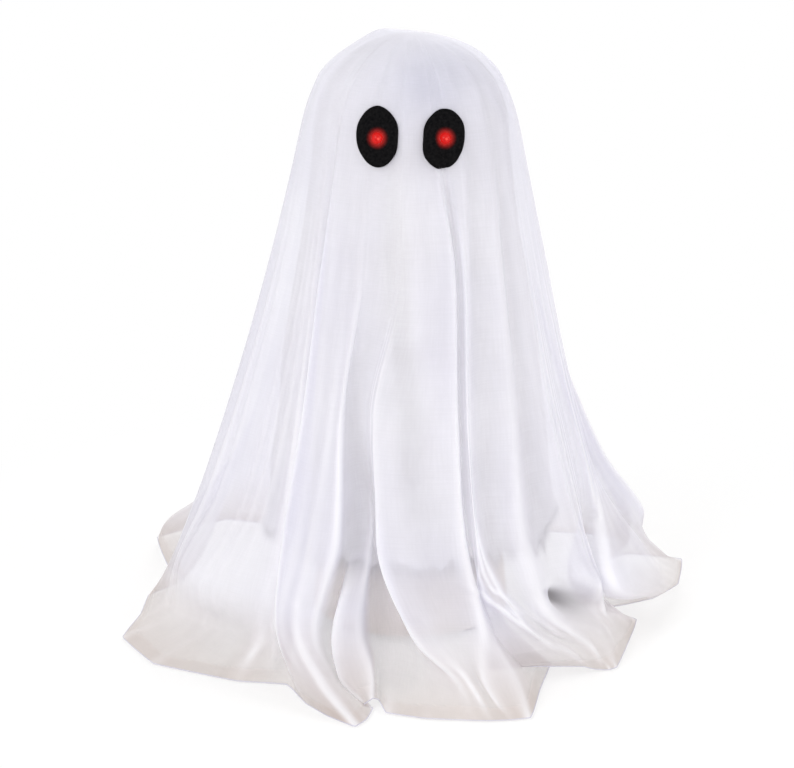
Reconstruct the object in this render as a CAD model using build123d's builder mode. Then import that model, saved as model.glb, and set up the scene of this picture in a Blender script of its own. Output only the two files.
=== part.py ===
"""Light-up table-top ghost: a sheer veil and a fleecy lining draped over a head on a battery base.

Millimetres, +Z up, the face looks along -Y, the table is Z = 0.
"""

import os
from math import cos, hypot, radians, sin, sqrt, tan

from build123d import *

# Overall size and the layers over the head
overall_height = 300.0
head_radius = 46.0
shell_wall = 2.0
layer_gap = 0.4
lining_wall = 1.8
veil_wall = 1.0
felt_wall = 1.0
felt_gap = 0.3
lining_radius = head_radius + layer_gap + lining_wall
veil_radius = lining_radius + layer_gap + veil_wall
head_z = overall_height - veil_radius

# Veil: height of each level, share of the body's reach and share of the hem's flare there
veil_levels = [
    (head_z, 0.0, 0.0),
    (head_z - 60.4, 0.32, 0.0),
    (130.0, 0.66, 0.0),
    (75.0, 1.0, 0.0),
    (35.0, 1.0, 0.42),
    (14.0, 1.0, 0.74),
    (0.0, 1.0, 1.0),
]

# Veil folds in their order round the figure, from the face towards +X and on:
# azimuth on the body and at the hem, then reach past the head on the body and at the hem
veil_folds = [
    (-90, -94, 52, 88),
    (-79, -84, 52, 90),
    (-68, -73, 53, 101),
    (-55, -57, 47, 96),
    (-46, -45, 44, 80),
    (-38, -32, 36, 67),
    (-34, -22, 53, 82),
    (-27, -10, 56, 98),
    (-21, -8, 53, 90),
    (-18, -6, 36, 78),
    (-13, -3, 32, 78),
    (-10, 4, 37, 87),
    (-7, 11, 52, 92),
    (0, 15, 55, 94),
    (13, 21, 55, 98),
    (16, 30, 45, 71),
    (19, 41, 54, 70),
    (24, 46, 47, 72),
    (30, 50, 54, 77),
    (49, 54, 50, 78),
    (57, 64, 47, 70),
    (65, 81, 43, 56),
    (71, 88, 48, 76),
    (83, 97, 50, 91),
    (97, 107, 46, 101.1),
    (110, 119, 37, 77),
    (116, 126, 57, 100),
    (129, 135, 48, 89),
    (145, 145, 40, 75),
    (160, 162, 54, 99),
    (175, 177, 36, 67),
    (190, 190, 54, 99),
    (207, 208, 38, 70),
    (222, 221, 55, 108),
    (238, 238, 54, 114),
    (247, 248, 44, 91),
    (254, 256, 41, 74),
]

# Lining: height of each level, reach past the head and depth of the folds there
lining_hem_z = 50.0
lining_levels = [
    (head_z, 0.0, 0.0),
    (head_z - 45.4, 4.3, 1.0),
    (head_z - 100.4, 13.3, 2.0),
    (lining_hem_z + 50.0, 18.3, 2.5),
    (lining_hem_z, 24.3, 3.0),
]
lining_crests = [-76, -37, 14, 55, 104, 147, 195, 236]

# Rounding of the folds: share of the shorter side that an arc takes, and the most that it takes
fold_share = 0.4
fold_trim = 6.0

# Eyes: felt patches and 5 mm lamps, all pointing straight forward
eye_x = 16.0
eye_rise = 6.6
eye_z = head_z + eye_rise
patch_width = 19.0
patch_height = 29.0
patch_tilt = 4.0
lamp_radius = 2.5
lamp_flange_radius = 2.9
lamp_flange = 1.0
lamp_length = 8.6
lamp_clearance = 0.3
leg_size = 0.5
leg_spread = 1.27
leg_length = 11.0
holder_radius = 4.2
holder_flange_radius = 5.6
holder_flange = 1.5
holder_lip = 1.2
holder_proud = 0.7
holder_length = 7.3
holder_front_y = -holder_proud - sqrt(head_radius**2 - eye_x**2 - eye_rise**2)
holder_seat_y = holder_front_y + holder_length
lining_eye_radius = holder_radius + lamp_clearance
pocket_clearance = 0.15
ring_length = 3.6
ring_bore = 1.9
slip = 0.1

# Head shell: seam lip and the four screw bosses
lip_depth = 1.5
lip_width = 0.9
boss_inset = 8.4
boss_angle = 38.2
front_boss_radius = 3.0
rear_boss_radius = 4.8
screw_shank = 1.3
screw_head = 2.6
screw_head_height = 1.8
screw_clearance = 0.2
screw_bite = 0.05
head_screw_seat = 8.0
head_screw_bite = 9.0
pilot_spare = 1.0

# Post: tube with a collar flange that the head's neck clamps
neck_radius = 16.0
neck_drop = 14.4
neck_bottom = head_z - head_radius - neck_drop
neck_top = head_z - sqrt(head_radius**2 - neck_radius**2)
post_radius = 10.0
post_bore = 7.5
post_top = neck_bottom + 16.0
post_flange_z = neck_bottom + 8.0
post_flange_radius = 12.5
post_flange = 2.5
post_fit = 0.15

# Base: moulded cover with a socket for the post, closed by a plate
foot_height = 4.0
foot_radius = 6.0
base_radius = 50.0
base_top_radius = 46.5
base_top = 36.0
base_wall = 2.2
base_edge = 5.0
socket_radius = 14.0
socket_height = 22.0
socket_edge = 1.5
wire_hole = 6.0
plate_wall = 2.5
plate_gap = 0.3
plate_top = foot_height + plate_wall
base_screw_inset = 10.0
base_screw_place = (base_radius - base_screw_inset) * sqrt(0.5)
pillar_radius = 3.5
pad_radius = 4.5
pad_height = 2.5
base_screw_bite = 9.0
post_screw_z = base_top + 10.0
post_screw_length = 5.5

# Battery tray, cells and contacts
cell_radius = 7.1
cell_length = 50.5
cell_nub = 1.3
cell_nub_radius = 2.75
cell_x = 7.5
tray_half_width = 15.5
tray_half_length = 28.0
tray_wall = 1.6
tray_head = 15.0
strip = 0.4
strip_half_width = 4.5
strip_low = 6.0
strip_high = 18.2
bow_half_height = 4.2
tab_width = 3.0
tab_reach = 33.0
tab_z = 17.2
tab_gap = 0.2

# Battery door and its rails
door_wall = 1.6
door_half_width = 18.9
door_half_length = 33.0
door_play = 0.2
rail_wall = 1.6
ledge = 1.7
ledge_wall = 1.0
grip_count = 4
grip_length = 12.0
grip_width = 1.2
grip_height = 0.6
grip_pitch = 2.6
grip_start = 20.0
latch_slot = 1.0
latch_half_width = 8.0
latch_length = 15.0

# Slide switch
switch_x = -30.0
switch_width = 6.5
switch_length = 12.0
switch_height = 6.0
ear_length = 20.0
ear_wall = 1.5
ear_hole_y = 8.0
knob_width = 3.0
knob_length = 4.0
knob_travel = 4.0
knob_gap = 0.2
knob_low = 1.6
knob_depth = 3.3
pin_pitch = 4.0
pin_width = 1.5
pin_wall = 0.5
pin_height = 3.0
small_shank = 0.95
small_head = 1.9
small_head_height = 1.3

# Driver board
board_x = 30.0
board_width = 16.0
board_length = 28.0
board_wall = 1.6
board_screw_y = 11.0
standoff_radius = 2.5
standoff_height = 3.5
board_top = plate_top + standoff_height + board_wall
blob_radius = 4.0
blob_height = 1.4
blob_edge = 1.1
resistor_length = 3.2
resistor_width = 1.6
resistor_height = 0.6
resistor_x = 35.5
resistor_y = 5.0

# Wires
wire_radius = 0.6
wire_sides = 6
wire_end = 0.1
wire_share = 0.45
wire_bend_y = 13.0
wire_bend_z = 18.0
loft_z = 27.0
pad_x = 24.0

eyes = {"left": -eye_x, "right": eye_x}
eye_places = [(x, eye_z) for x in eyes.values()]
boss_circle = head_radius - shell_wall - boss_inset
boss_x = boss_circle * cos(radians(boss_angle))
boss_z = boss_circle * sin(radians(boss_angle))
head_screw_places = [(x, head_z + z) for x in (-boss_x, boss_x) for z in (-boss_z, boss_z)]
base_screw_places = [
    (x, y) for x in (-base_screw_place, base_screw_place) for y in (-base_screw_place, base_screw_place)
]
board_screw_places = [(board_x, -board_screw_y), (board_x, board_screw_y)]
switch_screw_places = [(switch_x, -ear_hole_y), (switch_x, ear_hole_y)]
on_base = (Align.CENTER, Align.CENTER, Align.MIN)
os.makedirs("parts", exist_ok=True)


def save(name, part):
    """Label one finished node and write its file."""
    part.label = name
    export_step(part, f"parts/{name}.step")


def around(radius, azimuth):
    """A point at an azimuth from the face towards +X."""
    return Vector(radius * sin(radians(azimuth)), -radius * cos(radians(azimuth)))


def neighbours(places):
    """Each place of a closed ring with the ones before and after it."""
    return zip(places[-1:] + places[:-1], places, places[1:] + places[:1])


def veil_corners(level):
    """Crests and valleys of the veil at one level, as radius and azimuth."""
    _, body, flare = level
    corners = []
    for azimuth, hem_azimuth, reach, hem_reach in veil_folds:
        radius = veil_radius + body * (reach + flare * (hem_reach - reach))
        corners.append((radius, azimuth + flare * (hem_azimuth - azimuth)))
    return corners


def lining_corners(level):
    """Crests and valleys of the lining at one level, as radius and azimuth."""
    _, reach, depth = level
    corners = []
    for crest, after in zip(lining_crests, lining_crests[1:] + [lining_crests[0] + 360]):
        corners.append((lining_radius + reach + depth, crest))
        corners.append((lining_radius + reach - depth, (crest + after) / 2))
    return corners


def grown(corners, grow):
    """Corners of a ring moved so that each of its sides moves outward by the same distance."""
    moved = []
    for before, corner, after in neighbours([around(*corner) for corner in corners]):
        run_in = (corner - before).normalized()
        run_out = (after - corner).normalized()
        outward = Vector(run_in.Y + run_out.Y, -run_in.X - run_out.X).normalized()
        moved.append(corner + outward * (grow / outward.dot(Vector(run_in.Y, -run_in.X))))
    return moved


def corner_arc(before, corner, after):
    """Start, middle and end of the arc that rounds one corner of a ring."""
    run_in = corner - before
    run_out = after - corner
    trim = min(fold_trim, fold_share * min(run_in.length, run_out.length))
    start = corner - run_in.normalized() * trim
    end = corner + run_out.normalized() * trim
    half = radians(run_in.get_angle(run_out)) / 2
    chord = (start + end) / 2
    middle = chord + (corner - chord).normalized() * (trim * (1 - cos(half)) / tan(half))
    return start, middle, end


def cloth_ring(corners, grow):
    """A closed ring of lines whose corners are rounded by arcs."""
    arcs = [corner_arc(*places) for places in neighbours(grown(corners, grow))]
    with BuildLine() as ring:
        for _, arc, following in neighbours(arcs):
            ThreePointArc(*arc)
            Line(arc[2], following[0])
    return ring.edges()


def ring_lean(levels, rings, index):
    """How much thicker a wall of even thickness is when measured level, at one ring."""
    upper = max(index - 1, 0)
    lower = min(index + 1, len(levels) - 1)
    mean = [sum(radius for radius, _ in ring) / len(ring) for ring in rings]
    return hypot(1.0, (mean[lower] - mean[upper]) / (levels[upper][0] - levels[lower][0]))


def cloth_section(levels, rings, index, grow):
    """The face inside one ring of a draped cloth."""
    lean = ring_lean(levels, rings, index)
    with BuildSketch(Plane.XY.offset(levels[index][0])) as section:
        make_face(cloth_ring(rings[index], grow * lean))
    return section.sketch


def hood(radius, levels, rings, grow):
    """The upper part of a draped cloth: the dome over the head and the neck down to the first folds."""
    below = cloth_section(levels, rings, 1, grow)
    with BuildPart() as cloth:
        with Locations((0, 0, levels[0][0])):
            Sphere(radius + grow, arc_size1=0, align=on_base)
        with BuildSketch(Plane.XY.offset(levels[0][0])):
            Circle(radius + grow)
        add(below)
        loft(ruled=True)
    return cloth.part


def drape(radius, levels, rings, grow):
    """The solid inside a draped cloth, grown or shrunk by a thickness: its hood and its folded skirt."""
    upper = hood(radius, levels, rings, grow)
    sections = [cloth_section(levels, rings, index, grow) for index in range(1, len(levels))]
    with BuildPart() as cloth:
        loft(sections, ruled=True)
        add(upper)
    return cloth.part


def screw(plane, shank, head, head_height, length):
    """A plain screw whose head seats on the plane and whose shank runs behind it."""
    with BuildPart() as fastener:
        with BuildSketch(plane):
            Circle(head)
        extrude(amount=head_height)
        with BuildSketch(plane):
            Circle(shank)
        extrude(amount=-length)
    return fastener.part


def bend_radii(route):
    """The widest arc that each corner of a route leaves room for."""
    radii = []
    for before, corner, after in zip(route, route[1:], route[2:]):
        run_in = Vector(*corner) - Vector(*before)
        run_out = Vector(*after) - Vector(*corner)
        turn = radians(run_in.get_angle(run_out))
        radii.append(wire_share * min(run_in.length, run_out.length) / tan(turn / 2))
    return radii


def wire(route):
    """One insulated wire along straight runs joined by arcs."""
    with BuildPart() as lead:
        with BuildLine() as path:
            FilletPolyline(*route, radius=bend_radii(route))
        with BuildSketch(Plane(origin=path.line @ 0, z_dir=path.line % 0)):
            RegularPolygon(wire_radius, wire_sides)
        sweep()
    return lead.part


# Veil: the sheer outer cloth, with holes for the lamps
veil_rings = [veil_corners(level) for level in veil_levels]
veil_outside = drape(veil_radius, veil_levels, veil_rings, 0)
veil_inside = drape(veil_radius, veil_levels, veil_rings, -veil_wall)
with BuildPart() as veil:
    add(veil_outside)
    add(veil_inside, mode=Mode.SUBTRACT)
    with BuildSketch(Plane.XZ):
        with Locations(*eye_places):
            Circle(lamp_radius + lamp_clearance)
    extrude(amount=overall_height, mode=Mode.SUBTRACT)
save("veil", veil.part)

# Lining: the fleecy inner cloth, cut out round the lamp holders
lining_rings = [lining_corners(level) for level in lining_levels]
lining_outside = drape(lining_radius, lining_levels, lining_rings, 0)
lining_inside = drape(lining_radius, lining_levels, lining_rings, -lining_wall)
with BuildPart() as lining:
    add(lining_outside)
    add(lining_inside, mode=Mode.SUBTRACT)
    with BuildSketch(Plane.XZ):
        with Locations(*eye_places):
            Circle(lining_eye_radius)
    extrude(amount=overall_height, mode=Mode.SUBTRACT)
save("lining", lining.part)

# Felt eye patches: ovals that follow the veil
felt_outside = hood(veil_radius, veil_levels, veil_rings, felt_gap + felt_wall)
felt_inside = hood(veil_radius, veil_levels, veil_rings, felt_gap)
for side, x in eyes.items():
    with BuildPart() as eye_patch:
        with BuildSketch(Plane.XZ):
            with Locations((x, eye_z)):
                Ellipse(patch_width / 2, patch_height / 2, rotation=patch_tilt)
                Circle(lamp_radius + lamp_clearance, mode=Mode.SUBTRACT)
        extrude(amount=overall_height)
        add(felt_outside, mode=Mode.INTERSECT)
        add(felt_inside, mode=Mode.SUBTRACT)
    save(f"eye_patch_{side}", eye_patch.part)

# Head shell halves, split across the face, with a seam lip and a neck that clamps the post
with BuildPart() as front_cavity:
    with Locations((0, 0, head_z)):
        Sphere(head_radius - shell_wall)
    with BuildSketch(Plane.XZ):
        with Locations(*head_screw_places):
            Circle(front_boss_radius)
    extrude(amount=head_radius, mode=Mode.SUBTRACT)
    with BuildSketch(Plane.XZ.offset(-holder_seat_y)):
        with Locations(*eye_places):
            Circle(holder_flange_radius + lamp_clearance)
    extrude(amount=head_radius, mode=Mode.SUBTRACT)
with BuildPart() as rear_cavity:
    with Locations((0, 0, head_z)):
        Sphere(head_radius - shell_wall)
    with BuildSketch(Plane.XZ):
        with Locations(*head_screw_places):
            Circle(rear_boss_radius)
    extrude(amount=-head_radius, mode=Mode.SUBTRACT)
with BuildPart() as neck_hollow:
    with Locations((0, 0, neck_bottom)):
        Cylinder(post_radius + post_fit, head_z - neck_bottom, align=on_base)
    with Locations((0, 0, post_flange_z - post_fit)):
        Cylinder(post_flange_radius + post_fit, post_flange + 2 * post_fit, align=on_base)


def head_block(cavity):
    """The head and its neck as one hollow form, before it is split."""
    with Locations((0, 0, head_z)):
        Sphere(head_radius)
    with Locations((0, 0, neck_bottom)):
        Cylinder(neck_radius, neck_top - neck_bottom, align=on_base)
    add(cavity.part, mode=Mode.SUBTRACT)
    add(neck_hollow.part, mode=Mode.SUBTRACT)


seam_radius = head_radius - shell_wall
with BuildPart() as head_front_shell:
    head_block(front_cavity)
    split(bisect_by=Plane.XZ, keep=Keep.TOP)
    with BuildSketch(Plane.XZ):
        with Locations((0, head_z)):
            Circle(seam_radius + lip_width)
            Circle(seam_radius, mode=Mode.SUBTRACT)
        with Locations((0, neck_bottom)):
            Rectangle(2 * neck_radius, 2 * (neck_top - neck_bottom), mode=Mode.SUBTRACT)
    extrude(amount=-lip_depth)
    with BuildSketch(Plane.XZ):
        with Locations(*eye_places):
            Circle(holder_radius + slip)
    extrude(amount=head_radius, mode=Mode.SUBTRACT)
    with BuildSketch(Plane.XZ):
        with Locations(*head_screw_places):
            Circle(screw_shank + screw_bite)
    extrude(amount=head_screw_bite + pilot_spare, mode=Mode.SUBTRACT)
save("head_front_shell", head_front_shell.part)

with BuildPart() as head_rear_shell:
    head_block(rear_cavity)
    split(bisect_by=Plane.XZ, keep=Keep.BOTTOM)
    with BuildSketch(Plane.XZ):
        with Locations((0, head_z)):
            Circle(seam_radius + lip_width + slip)
            Circle(seam_radius - slip, mode=Mode.SUBTRACT)
    extrude(amount=-lip_depth - 2 * slip, mode=Mode.SUBTRACT)
    with BuildSketch(Plane.XZ):
        with Locations(*head_screw_places):
            Circle(screw_shank + screw_clearance)
    extrude(amount=-head_radius, mode=Mode.SUBTRACT)
    with BuildSketch(Plane.XZ.offset(-head_screw_seat)):
        with Locations(*head_screw_places):
            Circle(screw_head + screw_clearance)
    extrude(amount=-head_radius, mode=Mode.SUBTRACT)
save("head_rear_shell", head_rear_shell.part)

with BuildPart() as head_screws:
    for x, z in head_screw_places:
        seat = Plane(origin=(x, head_screw_seat, z), x_dir=(1, 0, 0), z_dir=(0, 1, 0))
        add(screw(seat, screw_shank, screw_head, screw_head_height, head_screw_seat + head_screw_bite))
save("head_screws", head_screws.part)

# Lamps: a lens, two legs and a clip of holder and ring for each eye
lamp_seat_y = holder_front_y + holder_lip
lamp_back_y = lamp_seat_y + lamp_flange
lamp_tip_y = lamp_back_y - lamp_length
for side, x in eyes.items():
    with BuildPart() as eye_led:
        with BuildSketch(Plane.XZ.offset(-lamp_back_y)):
            with Locations((x, eye_z)):
                Circle(lamp_flange_radius)
        extrude(amount=lamp_flange)
        with BuildSketch(Plane.XZ.offset(-lamp_seat_y)):
            with Locations((x, eye_z)):
                Circle(lamp_radius)
        extrude(amount=lamp_length - lamp_flange - lamp_radius)
        with Locations((x, lamp_tip_y + lamp_radius, eye_z)):
            Sphere(lamp_radius)
    save(f"eye_led_{side}", eye_led.part)

    with BuildPart() as led_holder:
        with BuildSketch(Plane.XZ.offset(-holder_seat_y - holder_flange)):
            with Locations((x, eye_z)):
                Circle(holder_flange_radius)
        extrude(amount=holder_flange)
        with BuildSketch(Plane.XZ.offset(-holder_seat_y)):
            with Locations((x, eye_z)):
                Circle(holder_radius)
        extrude(amount=holder_seat_y - holder_front_y)
        with BuildSketch(Plane.XZ):
            with Locations((x, eye_z)):
                Circle(lamp_radius + slip)
        extrude(amount=-holder_front_y, mode=Mode.SUBTRACT)
        with BuildSketch(Plane.XZ):
            with Locations((x, eye_z)):
                Circle(lamp_flange_radius + pocket_clearance)
        extrude(amount=-lamp_seat_y, mode=Mode.SUBTRACT)
    save(f"led_holder_{side}", led_holder.part)

    with BuildPart() as led_ring:
        with BuildSketch(Plane.XZ.offset(-lamp_back_y)):
            with Locations((x, eye_z)):
                Circle(lamp_flange_radius + pocket_clearance - slip)
                Circle(ring_bore, mode=Mode.SUBTRACT)
        extrude(amount=-ring_length)
    save(f"led_ring_{side}", led_ring.part)

leg_places = [(x + spread, eye_z) for x in eyes.values() for spread in (-leg_spread, leg_spread)]
with BuildPart() as led_legs:
    with BuildSketch(Plane.XZ.offset(-lamp_back_y)):
        with Locations(*leg_places):
            Rectangle(leg_size, leg_size)
    extrude(amount=-leg_length)
save("led_legs", led_legs.part)

# Post: a tube with a flange near its top and a hole for its locking screw
with BuildPart() as post:
    with BuildSketch(Plane.XY.offset(base_top)):
        Circle(post_radius)
    extrude(amount=post_top - base_top)
    with BuildSketch(Plane.XY.offset(post_flange_z)):
        Circle(post_flange_radius)
    extrude(amount=post_flange)
    with BuildSketch(Plane.XY.offset(base_top)):
        Circle(post_bore)
    extrude(amount=post_top - base_top, mode=Mode.SUBTRACT)
    with BuildSketch(Plane.XZ):
        with Locations((0, post_screw_z)):
            Circle(screw_shank + screw_bite)
    extrude(amount=-post_radius, mode=Mode.SUBTRACT)
save("post", post.part)

with BuildPart() as post_screw:
    seat = Plane(origin=(0, socket_radius, post_screw_z), x_dir=(1, 0, 0), z_dir=(0, 1, 0))
    add(screw(seat, screw_shank, screw_head, screw_head_height, post_screw_length))
save("post_screw", post_screw.part)

# Base cover: a drafted cup with a socket on top and pillars for the plate's screws
cover_profile = {
    (base_radius, foot_height): 0,
    (base_top_radius, base_top): base_edge,
    (socket_radius, base_top): socket_edge,
    (socket_radius, base_top + socket_height): socket_edge,
    (post_radius + post_fit, base_top + socket_height): 0,
    (post_radius + post_fit, base_top): 0,
    (wire_hole, base_top): 0,
    (wire_hole, base_top - base_wall): 0,
    (base_top_radius - base_wall, base_top - base_wall): base_edge - base_wall,
    (base_radius - base_wall, foot_height): 0,
}
with BuildPart() as base_cover:
    with BuildSketch(Plane.XZ):
        with BuildLine():
            FilletPolyline(*cover_profile, radius=list(cover_profile.values()), close=True)
        make_face()
    revolve(axis=Axis.Z)
    with BuildSketch(Plane.XY.offset(plate_top + pad_height)):
        with Locations(*base_screw_places):
            Circle(pillar_radius)
    extrude(amount=base_top - base_wall / 2 - plate_top - pad_height)
    with BuildSketch(Plane.XY.offset(plate_top)):
        with Locations(*base_screw_places):
            Circle(screw_shank + screw_bite)
    extrude(amount=pad_height + base_screw_bite, mode=Mode.SUBTRACT)
    with BuildSketch(Plane.XZ):
        with Locations((0, post_screw_z)):
            Circle(screw_shank + screw_clearance)
    extrude(amount=-2 * socket_radius, mode=Mode.SUBTRACT)
save("base_cover", base_cover.part)

# Base plate: closes the cover and carries the battery tray, the door rails and the board's standoffs
rail_low = foot_height - 2 * door_play - door_wall - ledge_wall
rail_half = door_half_width + door_play + rail_wall
rail_back = door_half_length + door_play
tray_top = plate_top + tray_head - plate_wall
with BuildPart() as base_plate:
    with BuildSketch(Plane.XY.offset(foot_height)):
        Circle(base_radius - base_wall - plate_gap)
    extrude(amount=plate_wall)
    with BuildSketch(Plane.XY.offset(plate_top)):
        Rectangle(2 * (tray_half_width + tray_wall), 2 * (tray_half_length + tray_wall))
    extrude(amount=tray_top + tray_wall - plate_top)
    with BuildSketch(Plane.XY.offset(plate_top)):
        with Locations(*base_screw_places):
            Circle(pad_radius)
        with Locations(*board_screw_places):
            Circle(standoff_radius)
    extrude(amount=pad_height)
    with BuildSketch(Plane.XY.offset(plate_top)):
        with Locations(*board_screw_places):
            Circle(standoff_radius)
    extrude(amount=standoff_height)
    with BuildSketch(Plane.XY.offset(rail_low)):
        Rectangle(2 * rail_half, 2 * (rail_back + rail_wall))
        with Locations((0, rail_wall)):
            Rectangle(2 * (door_half_width - ledge), 2 * rail_back + 2 * rail_wall, mode=Mode.SUBTRACT)
        with Locations((0, rail_back + rail_wall)):
            Rectangle(2 * rail_half, 2 * rail_wall, mode=Mode.SUBTRACT)
    extrude(amount=foot_height - rail_low)
    with BuildSketch(Plane.XY.offset(rail_low + ledge_wall)):
        with Locations((0, rail_wall)):
            Rectangle(2 * (door_half_width + door_play), 2 * rail_back + 2 * rail_wall)
    extrude(amount=foot_height - rail_low - ledge_wall, mode=Mode.SUBTRACT)
    with BuildSketch(Plane.XY.offset(foot_height)):
        Rectangle(2 * tray_half_width, 2 * tray_half_length)
    extrude(amount=tray_top - foot_height, mode=Mode.SUBTRACT)
    with BuildSketch(Plane.XY.offset(foot_height)):
        with Locations(*base_screw_places):
            Circle(screw_shank + screw_clearance)
        with Locations((switch_x, 0)):
            Rectangle(knob_width + 2 * knob_gap, knob_length + knob_travel + 2 * knob_gap)
    extrude(amount=plate_wall + pad_height, mode=Mode.SUBTRACT)
    with BuildSketch(Plane.XY.offset(foot_height)):
        with Locations(*base_screw_places):
            Circle(screw_head + screw_clearance)
    extrude(amount=screw_head_height + screw_clearance, mode=Mode.SUBTRACT)
    with BuildSketch(Plane.XY.offset(foot_height + plate_wall / 2)):
        with Locations(*board_screw_places, *switch_screw_places):
            Circle(small_shank + screw_bite)
    extrude(amount=plate_wall + standoff_height, mode=Mode.SUBTRACT)
    with BuildSketch(Plane.XZ.offset(-tray_half_length)):
        with Locations((-cell_x, tab_z + strip / 2), (cell_x, tab_z + strip / 2)):
            Rectangle(tab_width + 2 * tab_gap, strip + 2 * tab_gap)
    extrude(amount=-tray_wall, mode=Mode.SUBTRACT)
save("base_plate", base_plate.part)

base_screw_seat = foot_height + screw_head_height + screw_clearance
with BuildPart() as base_screws:
    for x, y in base_screw_places:
        seat = Plane(origin=(x, y, base_screw_seat), x_dir=(1, 0, 0), z_dir=(0, 0, -1))
        length = plate_top + pad_height + base_screw_bite - base_screw_seat - screw_clearance
        add(screw(seat, screw_shank, screw_head, screw_head_height, length))
save("base_screws", base_screws.part)

# Feet: rubber discs stuck over the screw holes
with BuildPart() as rubber_feet:
    with BuildSketch():
        with Locations(*base_screw_places):
            Circle(foot_radius)
    extrude(amount=foot_height)
    chamfer(rubber_feet.edges().group_by(Axis.Z)[0], foot_height / 8)
save("rubber_feet", rubber_feet.part)

# Battery door: a flat panel with grip ribs and a latch tongue
door_low = rail_low + ledge_wall + door_play
with BuildPart() as battery_door:
    with BuildSketch(Plane.XY.offset(door_low)):
        Rectangle(2 * door_half_width, 2 * door_half_length)
        for x in (-latch_half_width, latch_half_width):
            with Locations((x, door_half_length - latch_length / 2)):
                Rectangle(latch_slot, latch_length, mode=Mode.SUBTRACT)
    extrude(amount=door_wall)
    with BuildSketch(Plane.XY.offset(door_low)):
        for index in range(grip_count):
            with Locations((0, grip_start + index * grip_pitch)):
                Rectangle(grip_length, grip_width)
    extrude(amount=-grip_height)
save("battery_door", battery_door.part)

# Cells: two AA cells lying head to tail
cell_z = foot_height + screw_clearance + cell_radius
nub_end = tray_half_length - strip
for side, facing in (("left", 1), ("right", -1)):
    with BuildPart() as cell:
        end = Plane(origin=(facing * -cell_x, facing * nub_end, cell_z), x_dir=(1, 0, 0), z_dir=(0, -facing, 0))
        with BuildSketch(end):
            Circle(cell_nub_radius)
        extrude(amount=cell_nub)
        with BuildSketch(end.offset(cell_nub)):
            Circle(cell_radius)
        extrude(amount=cell_length - cell_nub)
    save(f"cell_{side}", cell.part)

# Contacts: flat strips, each bowed strip pressing on a cell's flat end
bow_reach = 2 * tray_half_length - strip - cell_length - screw_clearance


def contact_strip(x, facing, half_width):
    """A flat strip against the tray's end wall."""
    with BuildPart() as piece:
        with BuildSketch(Plane.XZ.offset(-facing * tray_half_length)):
            with Locations((x, (strip_low + strip_high) / 2)):
                Rectangle(2 * half_width, strip_high - strip_low)
        extrude(amount=facing * strip)
    return piece.part


def contact_bow(x, facing):
    """A bowed spring leaf standing off the strip."""
    wall = facing * (tray_half_length - strip)
    crest = facing * (tray_half_length - bow_reach)
    foot, top = cell_z - bow_half_height, cell_z + bow_half_height
    with BuildPart() as piece:
        with BuildSketch(Plane.YZ.offset(x - strip_half_width)):
            with BuildLine():
                ThreePointArc((wall, foot), (crest, cell_z), (wall, top))
                Line((wall, top), (wall, top - strip))
                ThreePointArc((wall, top - strip), (crest + facing * strip, cell_z), (wall, foot + strip))
                Line((wall, foot + strip), (wall, foot))
            make_face()
        extrude(amount=2 * strip_half_width)
    return piece.part


def contact_tab(x):
    """A solder tab through the rear wall of the tray."""
    with BuildPart() as piece:
        with BuildSketch(Plane.XY.offset(tab_z)):
            with Locations((x, (tray_half_length - strip + tab_reach) / 2)):
                Rectangle(tab_width, tab_reach - tray_half_length + strip)
        extrude(amount=strip)
    return piece.part


with BuildPart() as contact_bridge:
    add(contact_strip(0, -1, cell_x + strip_half_width))
    add(contact_bow(-cell_x, -1))
save("contact_bridge", contact_bridge.part)
with BuildPart() as contact_positive:
    add(contact_strip(-cell_x, 1, strip_half_width))
    add(contact_tab(-cell_x))
save("contact_positive", contact_positive.part)
with BuildPart() as contact_negative:
    add(contact_strip(cell_x, 1, strip_half_width))
    add(contact_bow(cell_x, 1))
    add(contact_tab(cell_x))
save("contact_negative", contact_negative.part)

# Slide switch: body with ears, knob in its slot, pins on top
knob_y = knob_travel / 2
with BuildPart() as switch_body:
    with BuildSketch(Plane.XY.offset(plate_top)):
        with Locations((switch_x, 0)):
            Rectangle(switch_width, ear_length)
    extrude(amount=ear_wall)
    with BuildSketch(Plane.XY.offset(plate_top)):
        with Locations((switch_x, 0)):
            Rectangle(switch_width, switch_length)
    extrude(amount=switch_height)
    with BuildSketch(Plane.XY.offset(plate_top)):
        with Locations((switch_x, 0)):
            Rectangle(knob_width + 2 * knob_gap, knob_length + knob_travel + 2 * knob_gap)
    extrude(amount=knob_depth + knob_gap, mode=Mode.SUBTRACT)
    with BuildSketch(Plane.XY.offset(plate_top)):
        with Locations(*switch_screw_places):
            Circle(small_shank + screw_clearance)
    extrude(amount=ear_wall, mode=Mode.SUBTRACT)
save("switch_body", switch_body.part)

with BuildPart() as switch_knob:
    with BuildSketch(Plane.XY.offset(knob_low)):
        with Locations((switch_x, knob_y)):
            Rectangle(knob_width, knob_length)
    extrude(amount=plate_top + knob_depth - knob_low)
    chamfer(switch_knob.edges().group_by(Axis.Z)[0], knob_gap)
save("switch_knob", switch_knob.part)

with BuildPart() as switch_pins:
    with BuildSketch(Plane.XY.offset(plate_top + switch_height)):
        with GridLocations(0, pin_pitch, 1, 3):
            with Locations((switch_x, 0)):
                Rectangle(pin_width, pin_wall)
    extrude(amount=pin_height)
save("switch_pins", switch_pins.part)

with BuildPart() as switch_screws:
    for x, y in switch_screw_places:
        seat = Plane(origin=(x, y, plate_top + ear_wall))
        length = ear_wall + plate_wall / 2 - screw_bite
        add(screw(seat, small_shank, small_head, small_head_height, length))
save("switch_screws", switch_screws.part)

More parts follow.
